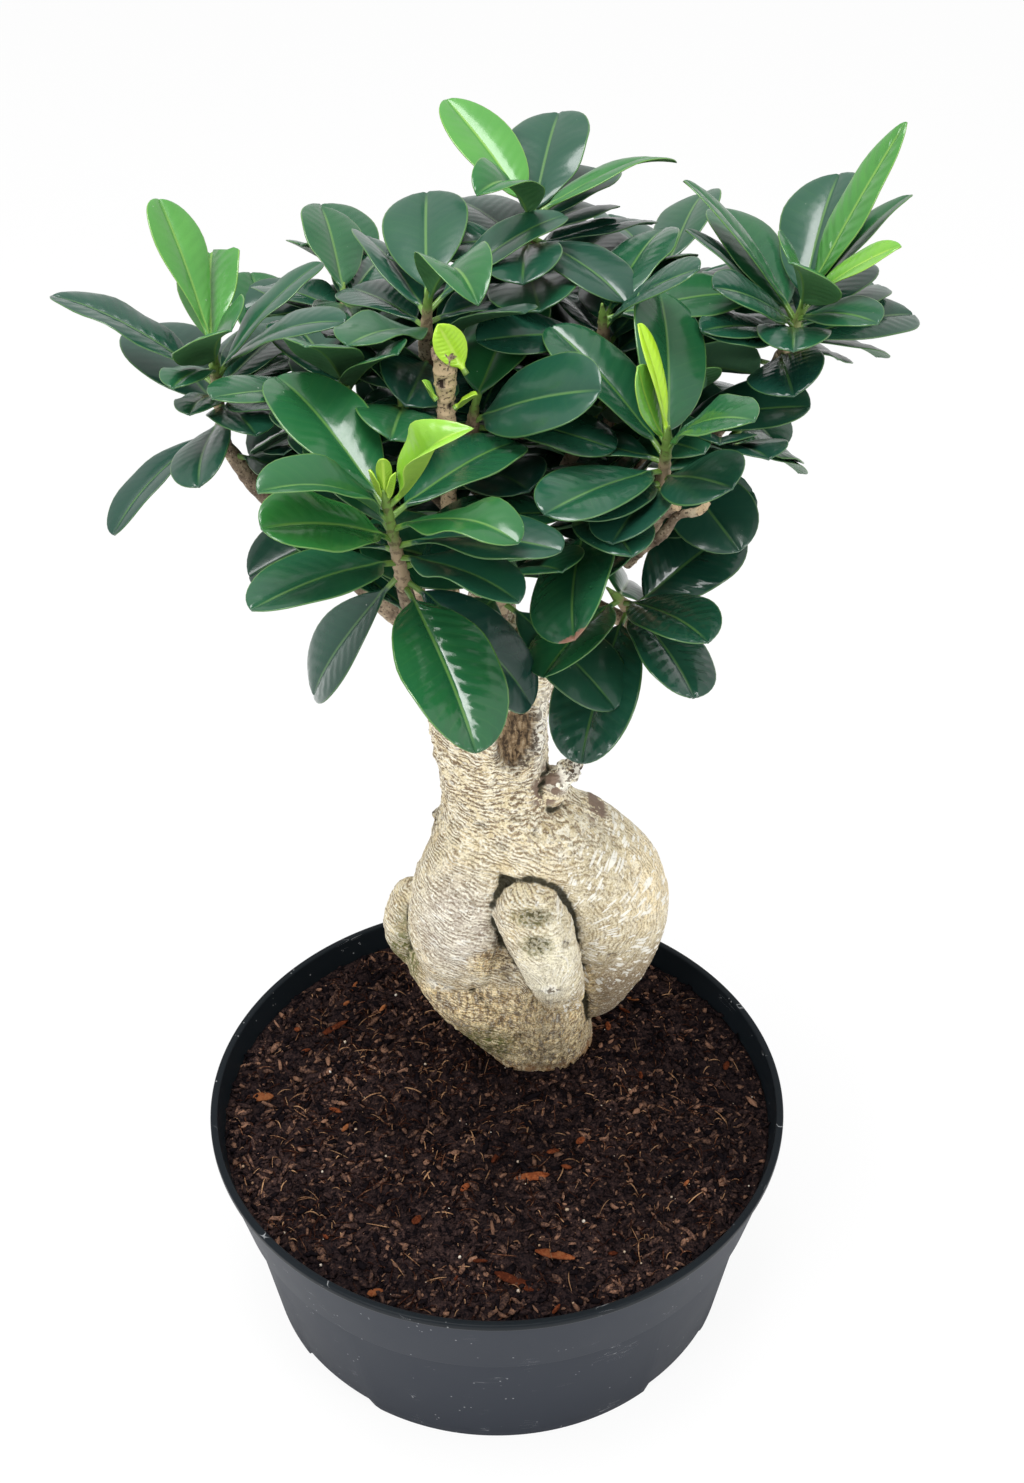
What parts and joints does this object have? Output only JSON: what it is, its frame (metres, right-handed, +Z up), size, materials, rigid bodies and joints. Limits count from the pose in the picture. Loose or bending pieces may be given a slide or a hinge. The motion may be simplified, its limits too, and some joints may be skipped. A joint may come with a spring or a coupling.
{
  "type": "ginseng ficus bonsai in a pot",
  "caption": "Small potted bonsai tree with a swollen, bulging root trunk, a short neck and a spreading crown of glossy oval leaves, standing in a round plastic bowl pot filled with dark peat.",
  "frame": {"origin": "the middle of the pot's underside, on the flat pad that it stands on", "axes": "+Z is up along the pot's axis, the side seen first faces -Y and +X is to its right"},
  "size_m": [0.2726, 0.2642, 0.4715],
  "materials": {
    "pot_plastic": "satin dark slate-grey moulded plastic",
    "peat": "moist dark peat with fibres and bark chips",
    "root_bark": "pale beige root bark with fine wrinkles and light dashes",
    "twig_bark": "grey-brown rough twig bark",
    "leaf": "glossy dark green leaf with a paler underside"
  },
  "bodies": {
    "root": {"branch_back": "twig_bark", "branch_front": "twig_bark", "branch_leader": "twig_bark", "branch_left": "twig_bark", "branch_right": "twig_bark", "pot": "pot_plastic", "shoot_back_a": "leaf", "shoot_back_b": "leaf", "shoot_back_c": "leaf", "shoot_back_d": "leaf", "shoot_back_e": "leaf", "shoot_back_left": "leaf", "shoot_back_right": "leaf", "shoot_centre": "leaf", "shoot_crown_left": "leaf", "shoot_crown_right": "leaf", "shoot_far_right": "leaf", "shoot_front_left": "leaf", "shoot_inner_front": "leaf", "shoot_inner_left": "leaf", "shoot_inner_low": "leaf", "shoot_inner_mid": "leaf", "shoot_left": "leaf", "shoot_low_right": "leaf", "shoot_mid_right": "leaf", "shoot_right": "leaf", "shoot_stub": "leaf", "shoot_stub_side": "leaf", "shoot_top": "leaf", "shoot_under_right": "leaf", "soil": "peat", "trunk": "root_bark", "twig_back_a": "twig_bark", "twig_back_b": "twig_bark", "twig_back_d": "twig_bark", "twig_back_e": "twig_bark", "twig_back_left": "twig_bark", "twig_back_right": "twig_bark", "twig_centre": "twig_bark", "twig_crown_left": "twig_bark", "twig_crown_right": "twig_bark", "twig_cut": "twig_bark", "twig_far_right": "twig_bark", "twig_inner_front": "twig_bark", "twig_inner_left": "twig_bark", "twig_inner_low": "twig_bark", "twig_inner_mid": "twig_bark", "twig_low_right": "twig_bark", "twig_mid_right": "twig_bark", "twig_stub": "twig_bark", "twig_stub_side": "twig_bark", "twig_under_right": "twig_bark"}
  },
  "joints": []
}
